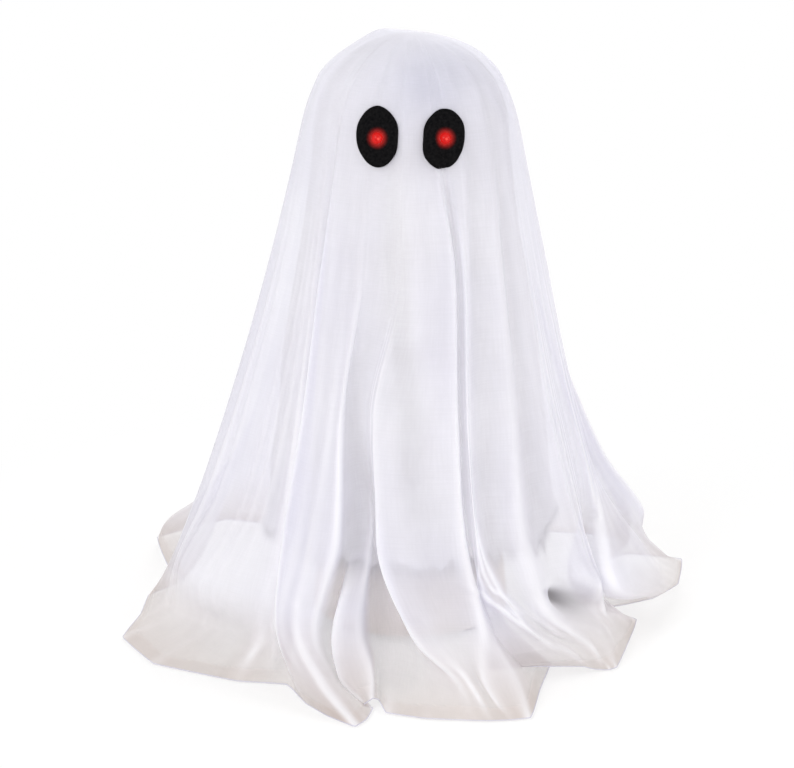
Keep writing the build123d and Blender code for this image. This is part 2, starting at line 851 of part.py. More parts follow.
# Driver board with its sealed chip and resistors
with BuildPart() as circuit_board:
    with BuildSketch(Plane.XY.offset(board_top - board_wall)):
        with Locations((board_x, 0)):
            Rectangle(board_width, board_length)
        with Locations(*board_screw_places):
            Circle(small_shank + screw_clearance, mode=Mode.SUBTRACT)
    extrude(amount=board_wall)
save("circuit_board", circuit_board.part)

with BuildPart() as chip_blob:
    with BuildSketch(Plane.XY.offset(board_top)):
        with Locations((board_x, 0)):
            Circle(blob_radius)
    extrude(amount=blob_height)
    fillet(chip_blob.edges().group_by(Axis.Z)[-1], blob_edge)
save("chip_blob", chip_blob.part)

with BuildPart() as resistors:
    with BuildSketch(Plane.XY.offset(board_top)):
        with Locations((resistor_x, -resistor_y), (resistor_x, resistor_y)):
            Rectangle(resistor_width, resistor_length)
    extrude(amount=resistor_height)
save("resistors", resistors.part)

with BuildPart() as board_screws:
    for x, y in board_screw_places:
        seat = Plane(origin=(x, y, board_top))
        add(screw(seat, small_shank, small_head, small_head_height, board_wall + standoff_height))
save("board_screws", board_screws.part)

# Wires from the lamps, down the post and over the tray to the board
leg_end = lamp_back_y + leg_length + wire_end
board_end = board_top + wire_end
bundle = {"left": [(-3.0, -1.0), (-3.0, 1.0)], "right": [(3.0, -3.2), (3.0, 3.2)]}
for side, x in eyes.items():
    outward = -1 if x < 0 else 1
    runs = []
    for spread, (post_x, post_y) in zip((leg_spread, -leg_spread), bundle[side]):
        leg_x = x + outward * spread
        runs.append(
            wire(
                [
                    (leg_x, leg_end, eye_z),
                    (leg_x, post_y - wire_bend_y, eye_z),
                    (post_x, post_y, head_z - wire_bend_z),
                    (post_x, post_y, loft_z),
                    (pad_x, post_y, loft_z),
                    (pad_x, post_y, board_end),
                ]
            )
        )
    save(f"led_wires_{side}", Compound(children=runs))

tab_end = tab_reach + wire_end
tab_middle = tab_z + strip / 2
pin_end = plate_top + switch_height + pin_height + wire_end
red_route = [
    (-cell_x, tab_end, tab_middle),
    (-cell_x, 38.0, tab_middle),
    (-20.0, 35.0, 18.0),
    (-24.0, 20.0, 20.0),
    (switch_x, pin_pitch, 21.0),
    (switch_x, pin_pitch, pin_end),
]
black_route = [
    (cell_x, tab_end, tab_middle),
    (cell_x, 38.0, tab_middle),
    (20.0, 35.0, 18.0),
    (pad_x, 20.0, 20.0),
    (pad_x, 7.5, 20.0),
    (pad_x, 7.5, board_end),
]
switch_route = [
    (switch_x, 0.0, pin_end),
    (switch_x, 0.0, 24.0),
    (-22.0, -6.0, 25.5),
    (18.0, -8.0, 25.5),
    (pad_x, -7.5, 23.0),
    (pad_x, -7.5, board_end),
]
save("battery_lead_red", wire(red_route))
save("battery_lead_black", wire(black_route))
save("switch_lead", wire(switch_route))
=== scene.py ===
"""Looks of the light-up draped ghost: sheer veil, fleecy lining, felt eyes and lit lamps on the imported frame.

Values are in millimetres, meshes in metres, +Z up. Azimuths run from 0 at the face, which looks along -Y, to
+90 at the figure's +X side.
"""

import bpy
import numpy as np
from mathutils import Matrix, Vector


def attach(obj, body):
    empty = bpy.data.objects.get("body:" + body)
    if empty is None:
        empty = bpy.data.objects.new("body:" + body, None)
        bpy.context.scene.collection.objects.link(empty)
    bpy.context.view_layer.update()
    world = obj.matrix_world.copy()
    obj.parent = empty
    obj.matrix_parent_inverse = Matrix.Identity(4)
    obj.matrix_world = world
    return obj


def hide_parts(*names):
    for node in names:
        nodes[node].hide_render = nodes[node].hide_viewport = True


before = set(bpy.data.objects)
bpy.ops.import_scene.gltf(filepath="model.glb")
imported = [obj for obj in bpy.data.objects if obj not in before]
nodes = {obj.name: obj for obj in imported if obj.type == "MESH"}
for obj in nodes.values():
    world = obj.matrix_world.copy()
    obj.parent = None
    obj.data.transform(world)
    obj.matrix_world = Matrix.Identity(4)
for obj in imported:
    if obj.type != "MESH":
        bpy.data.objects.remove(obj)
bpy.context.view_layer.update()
mm = 0.001

# Veil: a dome over the head, then a skirt that widens down to the hem
veil_columns = 760
dome_rows = 44
skirt_rows = 168
slope_most = 2.2
gap_levels = 4
neck_z = 250.0
neck_front = 49.8
neck_side = 52.8
neck_mean_reach = 64.5
neck_fold = 0.28
neck_fold_most = 1.2
shoulder_rows = 16
shoulder_passes = 90
hem_z = 0.5
hem_corner = 0.8
hem_thickness = 0.3

# Dome of the veil: how round it is, with a bump and a dent beside its top
dome_crown = 0.02
dome_power = 2.05
dome_top = 299.4
dome_bump = 2.0
dome_bump_place = (-16.0, 4.0)
dome_bump_width = 8.0
dome_dent = 1.6
dome_dent_place = (12.0, 2.0)
dome_dent_width = 17.0
dome_lump = 0.4
dome_pleat = 0.75

# Small forms of the skirt: the hollow at the right-hand front, slanting ridges and fine pleats
flare_reach = 118.0
least_reach = 1.0
hollow_place = (47.0, 32.0)
hollow_size = (17.0, 6.5)
hollow_tilt = -27.0
hollow_depth = 24.0
hollow_lip = 3.0
hollow_lip_place = 2.0
ridge_ends = (((14.0, 57.0), (36.0, 17.0)), ((19.0, 55.0), (41.0, 17.0)), ((-36.0, 38.0), (-35.0, 2.0)))
ridge_height = 2.6
ridge_width = 2.4
fine_pleat = 0.4
fine_pleat_apart = 1.0

# Where the veil is found to bend, to stand out, and to lie as a single layer over the lining's crease
bend_step = 3
bend_reach = 5.0
bend_least = 2.2
bend_rows = 70
crest_window = 41
crest_depth = 7.0
single_width = 6.0
single_start = 10.0
single_fade = 40.0

# How much of the light the veil stops, what each form adds to that, and how far the painted highlight and the
# painted shades go
veil_cover = (0.515, 0.545)
hem_cover = (0.60, 0.75)
edge_cover = 0.32
crest_cover = 0.24
hem_band = 7.0
hem_band_cover = 0.14
hollow_cover = 0.6
added_cover = (-0.14, 0.45)
single_cover = 0.26
least_added_cover = -0.17
edge_highlight = 0.8
hem_shading_low = 3.0
hem_shading_high = 40.0
hollow_shade = 0.9

# Lining: height, radius and depth of the folds at each level, and the crests of its folds round the figure
lining_levels = (
    (250.4, 47.5, 0.0),
    (205.0, 52.5, 1.0),
    (150.0, 61.5, 2.0),
    (100.0, 66.5, 2.5),
    (50.0, 72.5, 3.0),
)
lining_crests = (-76, -37, 14, 55, 104, 147, 195, 236)
lining_crown = 0.03
lining_dome_rows = 40
lining_skirt_rows = 130
lining_columns = 480
lining_sway = 0.9
lining_nap = 0.3
lining_ragged = 2.6
lining_ragged_power = 8
lining_wall = 1.4
# Where the painted shade over the brow lies: its middle and width across, then up
brow_shade_across = (8.0, 22.0)
brow_shade_height = (281.0, 15.0)

# Crease down the lining's front: azimuth and height of both ends, and the height at which it is deepest
lining_crease = 4.0
lining_crease_width = 5.5
lining_crease_top = (-8.0, 215.0)
lining_crease_middle = 150.0
lining_crease_end = (1.0, 105.0)

# Loose fibres along the lining's hem
fray_seed = 21
fray_count = 5200
fray_spread = 1.6
fray_root = 0.2
fray_length = 8.0
fray_least = 0.2
fray_width = 0.07
fray_side = (0.3, 0.5, 0.8)

# Eyes: reach of each felt patch from its lamp, every 45 degrees from +X upward
eye_x = 16.0
eye_z = 257.0
lamp_tip_y = -49.7
patch_reach = {
    "left": (9.7, 12.0, 14.3, 11.5, 10.0, 11.0, 13.6, 11.3),
    "right": (9.2, 10.9, 13.2, 12.0, 10.5, 12.9, 14.0, 10.4),
}
patch_bore = 2.65
patch_rings = 16
patch_columns = 128
patch_wall = 1.1
patch_rim = 0.82
patch_rim_wall = 0.35
patch_gap = 0.15

# Colours of cloth and felt, from darker to lighter patches, and the part of the grain that they spread over
cool_cloth = ((0.78, 0.77, 0.87), (0.86, 0.855, 0.93))
# Painted shade: the veil darker and beige towards the hem, standing in for the shaded warm floor under it
painted_hem_shade = ((0.56, 0.485, 0.45), (0.69, 0.62, 0.59))
# Painted highlight: whiter cloth along the crisp fold edges
painted_edge_highlight = ((0.93, 0.925, 0.955), (0.97, 0.965, 0.985))
# Painted shade: dark cloth in the hollow under the right-hand fold
painted_hollow_shade = ((0.17, 0.155, 0.165), (0.24, 0.225, 0.24))
cloth_range = (0.3, 0.7)
plain_fleece = ((0.88, 0.865, 0.855), (0.98, 0.975, 0.97))
# Painted shade: greyer fleece over the brow
painted_brow_shade = ((0.60, 0.60, 0.67), (0.70, 0.70, 0.76))
fleece_range = (0.28, 0.72)
felt_black = ((0.0025, 0.0025, 0.003), (0.010, 0.0095, 0.010))
felt_range = (0.3, 0.75)

# Weave of the veil over its cloth coordinates, and the share of light that veil and fleece let glow through
warp_scale = (1300.0, 40.0, 1.0)
weft_scale = (60.0, 700.0, 1.0)
weave_range = (0.14, 0.38)
veil_glow = 0.35
fleece_glow = 0.3

# Red light painted on the felt as a glow: how far it fades, and the bright spot and the dark chip in the lens,
# in metres
painted_red_glow = (0.90, 0.035, 0.028, 1.0)
red_glow_reach = (0.0024, 0.0058)
red_glow_strength = (0.60, 0.80)
glare_offset = Vector((0.0005, 0.0, 0.0003))
chip_offset = Vector((-0.0004, 0.0, -0.0003))
spot_reach = (0.0002, 0.0009)
lens_reach = (0.0, 0.0030)
lens_base = (0.25, 0.004, 0.004, 1.0)
lens_red = ((1.0, 0.12, 0.09), (0.50, 0.010, 0.008))
chip_red = ((0.42, 0.0, 0.0), (0.36, 0.0, 0.0))
chip_share = 0.8

# Wear of the hard finishes: the part of the grain it spreads over, how much darker and rougher it gets
wear_range = (0.3, 0.7)
wear_dark = 0.92
wear_rough = 0.15

# Light, floor and camera, in metres and watts
world_light = 0.69
lamps = {"key": ((-1.0, -1.1, 1.2), 15.0), "fill": ((1.4, -0.5, 0.9), 9.0), "back": ((0.3, 1.4, 0.9), 7.0)}
lamp_size = 0.7
light_aim = Vector((0.0, 0.0, 0.14))
floor_size = 12.0
floor_drop = 0.0006
floor_colour = (0.93, 0.92, 0.91, 1.0)
floor_fade_reach = (0.10, 0.32)
floor_white_near = 0.55
camera_target = Vector((0.0, 0.0, 0.150))
camera_aim = Vector((-0.007, 0.0, 0.120))
camera_distance = 1.3
camera_elevation = np.radians(17.0)
camera_lens = 117.9

# Heights of the levels at which the fold lines are set, below the neck; the hem lies at hem_z plus its lift
levels = (190.0, 130.0, 75.0, 35.0, 15.0)

# Fold lines in their order round the cloth: lift of the hem, azimuth at the neck, then azimuth and radius at
# each level and at the hem. Where an azimuth falls behind its neighbour's, one fold laps over the next.
fold_lines = [
    (0, -90, (-90, 69), (-90, 86), (-90, 104), (-92, 119), (-92, 128), (-94, 137)),
    (0, -80, (-80, 68), (-79, 86), (-79, 105), (-80, 121), (-82, 128), (-84, 139)),
    (0, -69, (-68, 67), (-68, 84), (-68, 103), (-70, 123), (-71, 124), (-73, 151)),
    (0, -59, (-58, 64), (-57, 80), (-57, 98), (-59, 120), (-60, 117), (-59, 147)),
    (0, -51, (-50, 64), (-48, 79), (-48, 96), (-49, 115), (-50, 111), (-49, 134)),
    (0, -47, (-46, 63), (-42, 78), (-39, 93), (-37, 109), (-39, 116), (-41, 127)),
    (0, -44, (-44, 60), (-39, 74), (-36, 84), (-34, 96), (-33, 106), (-31, 116)),
    (0, -41, (-42, 65), (-38, 83), (-36, 103), (-33, 119), (-27, 128), (-22, 131)),
    (0, -34, (-35, 66), (-32, 84), (-30, 106), (-30, 121), (-22, 133), (-16, 140)),
    (0, -27, (-28, 65), (-26, 84), (-25, 106), (-26, 121), (-18, 134), (-10, 148)),
    (0, -23, (-23, 64), (-23.5, 83), (-20, 104), (-23, 117), (-17, 126), (-8.5, 140)),
    (0, -20, (-20, 62.5), (-23.5, 76), (-20, 88), (-21, 100), (-18, 112), (-8, 127)),
    (2, -17, (-17.5, 61.8), (-22.5, 73), (-17, 80), (-19, 113), (-16, 125), (-10, 129)),
    (5, -14, (-15, 61.5), (-20.5, 71.5), (-14, 78), (-13, 108), (-9, 121), (-8, 127)),
    (2, -11, (-12, 61.6), (-18.5, 71.5), (-13, 76), (-11, 90), (-8, 106), (-7, 122)),
    (0, -8.5, (-9, 62), (-16.5, 73), (-11, 79), (-7, 86), (-4, 104), (-5, 131)),
    (0, -6, (-6.5, 62.8), (-15, 76.5), (-9, 86), (-2, 96), (3, 114), (3, 137)),
    (0, -3, (-4, 64), (-12, 82), (-9, 102), (0, 118), (10, 130), (12, 142)),
    (0, 2, (3, 65), (-4, 84), (-2, 104), (5, 118), (12, 131), (15, 144)),
    (0, 7, (10, 65), (6, 84), (6, 104), (10, 117), (14, 129), (17, 145)),
    (0, 11, (18, 67), (15, 85), (13.5, 105), (16, 120), (16, 133), (19, 146)),
    (0, 13, (19.5, 64), (16, 82), (15, 102), (19, 116), (22, 132), (22.5, 147)),
    (0, 15, (21, 59), (17, 78), (16, 95), (22, 105), (28, 114), (31, 121)),
    (0, 17, (22, 59), (17.6, 78), (16.6, 94), (25, 100), (34, 104), (43, 101)),
    (17, 19, (22.6, 62), (18.2, 82), (17.2, 101), (17.5, 111), (18, 118), (19, 122)),
    (4, 26, (24, 66.5), (19, 85), (18, 105), (27, 118), (39, 122), (44, 121)),
    (1, 33, (30, 63), (26, 80), (23.5, 97), (31, 110), (42, 119), (47, 122)),
    (0, 42, (40, 67), (34.5, 84), (30, 104), (35, 117), (45, 122), (49, 125)),
    (0, 50, (46, 63), (42, 79), (39, 97), (43, 113), (48, 121), (50, 127)),
    (0, 57, (54, 66), (51, 82), (49, 101), (51, 116), (53, 121), (52, 128)),
    (0, 63, (61, 65), (58, 80), (56, 98), (57, 112), (58, 118), (62, 121)),
    (0, 68, (66, 64), (64, 78), (61, 95), (61, 101), (68, 112), (80, 117)),
    (2, 71, (70, 64), (68, 77), (64, 93), (64, 87), (73, 91), (84, 98)),
    (3, 73, (73, 64), (71, 78), (66, 94), (60, 92), (74, 96), (85, 108)),
    (5, 77, (77, 65), (74, 80), (69, 98), (57, 117), (78, 122), (88, 125)),
    (4, 88, (88, 66), (86, 79), (83, 95), (80, 122), (90, 133), (97, 141)),
    (7, 100, (100, 65), (99, 77), (97, 92), (96, 118), (102, 138), (107, 151)),
    (4, 107, (107, 64), (107, 80), (108, 104), (109, 129), (111, 131), (117, 131)),
    (0, 113, (113, 63), (113, 77), (113, 98), (114, 120), (117, 120), (120, 125)),
    (0, 120, (120, 66), (118, 83), (116, 107), (118, 134), (122, 141), (126, 149)),
    (0, 132, (132, 64), (131, 79), (129, 98), (131, 118), (133, 128), (135, 139)),
    (0, 145, (145, 62), (145, 75), (145, 90), (145, 104), (145, 114), (145, 125)),
    (0, 160, (160, 66), (160, 83), (161, 104), (161, 122), (161, 135), (162, 149)),
    (0, 175, (175, 62), (175, 74), (176, 86), (176, 98), (177, 107), (177, 117)),
    (0, 190, (190, 66), (190, 83), (190, 104), (190, 123), (190, 136), (190, 150)),
    (0, 207, (207, 63), (207, 75), (207, 88), (208, 100), (208, 110), (208, 120)),
    (0, 222, (222, 66), (222, 83), (223, 105), (222, 126), (222, 146), (221, 158)),
    (2, 237, (237, 65), (237, 82), (238, 104), (238, 132), (238, 156), (238, 164)),
    (0, 246, (246, 63), (246, 78), (247, 94), (247, 111), (248, 130), (248, 141)),
    (0, 253, (253, 62), (253, 76), (254, 91), (255, 105), (255, 114), (255, 124)),
]


# Shapes
def waves(shape, count, cells, seed):
    """Smooth seamless noise of about unit height, as a sum of sine waves over a grid."""
    draw = np.random.default_rng(seed)
    rows = np.linspace(0.0, 1.0, shape[0])[:, None]
    turn = np.linspace(0.0, 2.0 * np.pi, shape[1], endpoint=False)[None, :]
    total = np.zeros(shape)
    for _ in range(count):
        around = draw.integers(1, cells)
        down = draw.uniform(-cells, cells)
        total += np.sin(around * turn + np.pi * down * rows + draw.uniform(0, 2 * np.pi))
    return total / np.sqrt(count)


def cubic(knots, values, places):
    """A smooth curve through values at rising knots, read at places, which hardly overshoots the values."""
    slopes = np.gradient(values, knots, axis=0)
    runs = np.abs(np.diff(values, axis=0)) / np.diff(knots).reshape((-1,) + (1,) * (values.ndim - 1))
    most = slope_most * np.minimum(runs[:-1], runs[1:])
    slopes[1:-1] = np.clip(slopes[1:-1], -most, most)
    index = np.clip(np.searchsorted(knots, places, side="right") - 1, 0, len(knots) - 2)
    sides = (len(places),) + (1,) * (values.ndim - 1)
    gap = (knots[index + 1] - knots[index]).reshape(sides)
    s = (places - knots[index]).reshape(sides) / gap
    start, end = values[index], values[index + 1]
    leave, arrive = slopes[index] * gap, slopes[index + 1] * gap
    return (
        start * (1 + 2 * s) * (1 - s) ** 2
        + leave * s * (1 - s) ** 2
        + end * s**2 * (3 - 2 * s)
        + arrive * s**2 * (s - 1)
    )


def ring(knots, values, places, turn):
    """The same round a closed ring of control points, which repeats after turn."""
    around = np.concatenate([knots[-3:] - turn, knots, knots[:3] + turn])
    closed = np.concatenate([values[-3:], values, values[:3]])
    return cubic(around, closed, places)


def line_controls():
    """Points of every fold line from the neck to the hem: level, line, place."""
    neck = np.radians([line[1] for line in fold_lines])
    pairs = np.array([line[2:] for line in fold_lines], float)
    turn, reach = np.radians(pairs[..., 0]), pairs[..., 1]
    fold = np.clip(neck_fold * (reach[:, 0] - neck_mean_reach), -neck_fold_most, neck_fold_most)
    neck_x = (neck_side + fold) * np.sin(neck)
    neck_y = -(neck_front + fold) * np.cos(neck)
    across = np.column_stack([neck_x, reach * np.sin(turn)])
    along = np.column_stack([neck_y, -reach * np.cos(turn)])
    height = np.tile([neck_z, *levels, hem_z], (len(fold_lines), 1))
    height[:, -1] += [line[0] for line in fold_lines]
    return np.stack([across, along, height], axis=-1).swapaxes(0, 1)


def skirt_points():
    """Rows of points from the neck to the hem."""
    controls = line_controls()
    steps = np.linspace(0.0, len(controls) - 1.0, skirt_rows)
    down = cubic(np.arange(len(controls), dtype=float), controls, steps)
    gaps = np.linalg.norm(np.roll(controls, -1, axis=1) - controls, axis=-1)[-gap_levels:].mean(axis=0)
    knots = np.concatenate([[0.0], np.cumsum(gaps)])
    places = np.linspace(0.0, knots[-1], veil_columns, endpoint=False)
    smooth = ring(knots[:-1], down.swapaxes(0, 1), places, knots[-1]).swapaxes(0, 1)
    closed = np.concatenate([down, down[:, :1]], axis=1)
    straight = [[np.interp(places, knots, row[:, axis]) for row in closed] for axis in range(3)]
    corner = hem_corner * np.clip(steps - (len(controls) - 2), 0, 1)[:, None, None] ** 2
    return (1 - corner) * smooth + corner * np.stack(straight, axis=-1)


def dome_points(neck):
    """Rows of points from the top of the head to the neck ring, with a bump and a dent beside the top."""
    polar = np.linspace(dome_crown, 1.0, dome_rows, endpoint=False)[:, None] * np.pi / 2
    lean = 2.0 / dome_power
    across = neck[:, 0] * np.sin(polar) ** lean
    along = neck[:, 1] * np.sin(polar) ** lean

    def knoll(place, width):
        return np.exp(-((across - place[0]) ** 2 + (along - place[1]) ** 2) / width**2)

    height = neck_z + (dome_top - neck_z) * np.cos(polar) ** lean
    height = height + dome_bump * knoll(dome_bump_place, dome_bump_width)
    height = height - dome_dent * knoll(dome_dent_place, dome_dent_width)
    height = height + dome_lump * waves(across.shape, count=9, cells=4, seed=3) * np.sin(polar)
    pleats = waves((1, veil_columns), count=10, cells=26, seed=8)
    pleat = 1.0 + dome_pleat * np.sin(2.0 * polar) * pleats / neck_front
    return np.stack([across * pleat, along * pleat, height], axis=-1)


def veil_points():
    """Rows of points from the top of the head to the hem, in metres."""
    skirt = skirt_points()
    points = np.concatenate([dome_points(skirt[0]), skirt])
    shoulder = slice(dome_rows - shoulder_rows, dome_rows + shoulder_rows)
    for _ in range(shoulder_passes):
        blend = 0.5 * points[1:-1] + 0.25 * (points[:-2] + points[2:])
        points[shoulder] = np.concatenate([points[:1], blend, points[-1:]])[shoulder]
    return pushed(points) * mm


def single_layer(points):
    """1 down the front, where one layer of the cloth lets the lining's crease show, and 0 elsewhere."""
    azimuth = np.degrees(np.arctan2(points[..., 0], -points[..., 1]))
    (top_turn, top), (end_turn, end) = lining_crease_top, lining_crease_end
    middle = np.interp(points[..., 2], (end, top), (end_turn, top_turn))
    heights = (end - single_fade, end, top - single_start, top + single_fade)
    tall = np.interp(points[..., 2], heights, (0.0, 1.0, 1.0, 0.0))
    return tall * np.exp(-(((azimuth - middle) / single_width) ** 2))


def hollow(points):
    """The hollow under the right-hand fold: how deep each point lies in it, and how far up its lip."""
    azimuth = np.degrees(np.arctan2(points[..., 0], -points[..., 1]))
    across = (azimuth - hollow_place[0]) * np.radians(flare_reach)
    up = points[..., 2] - hollow_place[1]
    tilt = np.radians(hollow_tilt)
    long = (across * np.cos(tilt) + up * np.sin(tilt)) / hollow_size[0]
    high = (up * np.cos(tilt) - across * np.sin(tilt)) / hollow_size[1]
    inside = np.exp(-(long**2))
    return inside * np.exp(-(high**2)), inside * np.exp(-((high - hollow_lip_place) ** 2))


def pushed(points):
    """The same points with the right-hand hollow pushed in, and fine pleats and ridges pulled out."""
    reach = np.hypot(points[..., 0], points[..., 1])
    azimuth = np.degrees(np.arctan2(points[..., 0], -points[..., 1]))
    height = points[..., 2]
    deep, lip = hollow(points)
    move = hollow_lip * lip - hollow_depth * deep
    fall = np.clip((np.arange(len(points)) - dome_rows) / skirt_rows, 0.0, 1.0)[:, None]
    apart = np.linalg.norm(np.roll(points, -1, axis=1) - points, axis=-1)
    pleats = waves((1, veil_columns), count=24, cells=110, seed=17)
    move += fine_pleat * np.minimum(apart, fine_pleat_apart) * np.sin(np.pi * fall) * pleats
    for (first_turn, first_height), (last_turn, last_height) in ridge_ends:
        share = np.clip((height - first_height) / (last_height - first_height), 0.0, 1.0)
        away = (azimuth - first_turn - share * (last_turn - first_turn)) * np.radians(flare_reach)
        move += ridge_height * np.sin(np.pi * share) * np.exp(-((away / ridge_width) ** 2))
    grown = 1.0 + move / np.maximum(reach, least_reach)
    return points * np.stack([grown, grown, np.ones_like(grown)], axis=-1)


def bends(points):
    """How sharply the cloth bends outward on the way round it: 1 on a crisp fold, 0 where flat or hollow."""
    flat = points[..., :2] / mm
    ahead = np.roll(flat, -bend_step, axis=1) - flat
    behind = flat - np.roll(flat, bend_step, axis=1)
    cross = behind[..., 0] * ahead[..., 1] - behind[..., 1] * ahead[..., 0]
    turned = np.arctan2(cross, (behind * ahead).sum(axis=-1))
    length = 0.5 * (np.linalg.norm(ahead, axis=-1) + np.linalg.norm(behind, axis=-1))
    sharp = np.clip(bend_reach * turned / np.maximum(length, bend_least), 0.0, 1.0)
    sharp *= np.interp(np.arange(len(points)), (dome_rows, dome_rows + bend_rows), (0.0, 1.0))[:, None]
    return (np.roll(sharp, 1, axis=1) + 2.0 * sharp + np.roll(sharp, -1, axis=1)) / 4.0


def crests(points):
    """How far the cloth stands out past its own mean round it: 1 on a full crest, -1 in a full valley."""
    reach = np.hypot(points[..., 0], points[..., 1]) / mm
    steps = range(-(crest_window // 2), crest_window // 2 + 1)
    mean = sum(np.roll(reach, step, axis=1) for step in steps) / crest_window
    return np.clip((reach - mean) / crest_depth, -1.0, 1.0)


def lining_folds(azimuth):
    """The lining's folds at azimuths in degrees: 1 on a crest, -1 in the valley between two."""
    tops = np.array([*lining_crests, lining_crests[0] + 360], float)
    turned = (azimuth - tops[0]) % 360 + tops[0]
    phase = np.interp(turned, tops, np.arange(len(tops)))
    return np.cos(2 * np.pi * phase)


def lining_crease_depth(level, azimuth):
    """How far the lining's crease goes in at each level and azimuth."""
    (top_turn, top), (end_turn, end) = lining_crease_top, lining_crease_end
    middle = np.interp(level, (end, top), (end_turn, top_turn))[:, None]
    deep = np.interp(level, (end, lining_crease_middle, top), (0.0, lining_crease, 0.0))[:, None]
    return deep * np.exp(-(((azimuth - middle) / lining_crease_width) ** 2))


def lining_points():
    """Rows of points from the top of the lining to its ragged hem, in metres."""
    height, radius, depth = np.array(lining_levels).T
    azimuth = np.linspace(-180.0, 180.0, lining_columns, endpoint=False)
    polar = np.linspace(lining_crown, 1.0, lining_dome_rows, endpoint=False) * np.pi / 2
    down = np.linspace(0.0, 1.0, lining_skirt_rows)
    level = height[0] + (height[-1] - height[0]) * down
    profile = cubic(-height, np.stack([radius, depth], axis=-1), -level)
    shape = (lining_skirt_rows, lining_columns)
    reach = profile[:, :1] + profile[:, 1:] * lining_folds(azimuth)
    sway = lining_sway * waves(shape, count=14, cells=9, seed=11)
    nap = lining_nap * waves(shape, count=60, cells=70, seed=12)
    reach = reach + down[:, None] * (sway + nap) - lining_crease_depth(level, azimuth)
    ragged = lining_ragged * waves((1, lining_columns), count=30, cells=60, seed=13)
    fall = level[:, None] + down[:, None] ** lining_ragged_power * ragged
    dome_reach = np.tile(radius[0] * np.sin(polar)[:, None], (1, lining_columns))
    dome_fall = np.tile(height[0] + radius[0] * np.cos(polar)[:, None], (1, lining_columns))
    reach, fall = np.concatenate([dome_reach, reach]), np.concatenate([dome_fall, fall])
    turn = np.radians(azimuth)
    return np.stack([reach * np.sin(turn), -reach * np.cos(turn), fall], axis=-1) * mm


def patch_points(side, x):
    """Rows of points from the lamp's hole to the edge of one felt patch, laid on the veil, in metres."""
    turn = np.linspace(0.0, 2.0 * np.pi, patch_columns, endpoint=False)
    reach = np.array(patch_reach[side])
    corners = np.arange(len(reach)) * 2.0 * np.pi / len(reach)
    edge = ring(corners, reach, turn, 2.0 * np.pi)
    shares = np.concatenate([np.linspace(0.0, 1.0, patch_rings), [1.0]])
    points = np.zeros((len(shares), patch_columns, 3))
    for row, share in enumerate(shares):
        away = patch_bore + share * (edge - patch_bore)
        rim = np.sqrt(1.0 - max(0.0, (share - patch_rim) / (1.0 - patch_rim)) ** 2)
        lift = patch_gap + patch_wall * (patch_rim_wall + (1.0 - patch_rim_wall) * rim)
        if row == len(shares) - 1:
            lift = patch_gap
        for column, (across, up) in enumerate(zip(x + away * np.cos(turn), eye_z + away * np.sin(turn))):
            _, place, _, _ = veil_cloth.ray_cast((across * mm, -1.0, up * mm), (0.0, 1.0, 0.0))
            points[row, column] = (across * mm, place.y - lift * mm, up * mm)
    return points


# Meshes
def link_mesh(name, mesh):
    """A new object of the mesh in the scene."""
    piece = bpy.data.objects.new(name, mesh)
    bpy.context.scene.collection.objects.link(piece)
    return piece


def grid_mesh(name, points, top=None):
    """A smooth mesh from rows of points that close into rings, with the cloth's own coordinates as UV."""
    rows, columns = points.shape[:2]
    index = np.arange(rows * columns).reshape(rows, columns)
    right = np.roll(index, -1, axis=1)
    quads = np.stack([index[:-1], index[1:], right[1:], right[:-1]], axis=-1).reshape(-1, 4)
    vertices = points.reshape(-1, 3).tolist()
    faces = quads.tolist()
    if top is not None:
        vertices.append(list(top))
        faces += [[rows * columns, a, b] for a, b in zip(index[0].tolist(), right[0].tolist())]
    mesh = bpy.data.meshes.new(name)
    mesh.from_pydata(vertices, [], faces)
    mesh.shade_smooth()
    across, down = np.meshgrid(np.arange(columns), np.arange(rows - 1))
    corners = [(0, 0), (0, 1), (1, 1), (1, 0)]
    uv = np.stack([np.stack([(across + i) / columns, 1 - (down + j) / rows], -1) for i, j in corners], axis=2)
    flat = np.zeros((len(mesh.loops), 2), np.float32)
    flat[: uv.size // 2] = uv.reshape(-1, 2)
    mesh.uv_layers.new(name="cloth").data.foreach_set("uv", flat.ravel())
    return link_mesh(name, mesh)


def keep_values(piece, name, values):
    """Stores one number for each of the piece's points, for its material to read."""
    held = piece.data.attributes.new(name, "FLOAT", "POINT")
    full = np.zeros(len(piece.data.vertices), np.float32)
    full[: values.size] = values.ravel()
    held.data.foreach_set("value", full)


def hem_roll(name, edge, radius):
    """A thin roll that follows a closed line of points."""
    curve = bpy.data.curves.new(name, "CURVE")
    curve.dimensions = "3D"
    curve.bevel_depth = radius
    curve.bevel_resolution = 1
    line = curve.splines.new("POLY")
    line.points.add(len(edge) - 1)
    line.use_cyclic_u = True
    for point, place in zip(line.points, edge):
        point.co = (*place, 1.0)
    drawn = link_mesh(name + "_line", curve)
    mesh = bpy.data.meshes.new_from_object(drawn)
    bpy.data.objects.remove(drawn)
    mesh.name = name
    mesh.shade_smooth()
    return link_mesh(name, mesh)


def across_fibre(fibre, other, width):
    """A step of the given width at right angles to a fibre and to another direction."""
    step = np.cross(fibre, other)
    return width * step / np.linalg.norm(step)


def strands(name, roots, tips, width):
    """Thin three-sided fibres from each root to its tip."""
    vertices, faces = [], []
    for root, tip in zip(roots, tips):
        a = len(vertices)
        b, c, end = a + 1, a + 2, a + 3
        side = across_fibre(tip - root, fray_side, width)
        other = across_fibre(tip - root, side, width)
        vertices += [root + side, root - 0.5 * side + other, root - 0.5 * side - other, tip]
        faces += [(a, b, end), (b, c, end), (c, a, end)]
    mesh = bpy.data.meshes.new(name)
    mesh.from_pydata([tuple(v) for v in vertices], [], faces)
    return link_mesh(name, mesh)


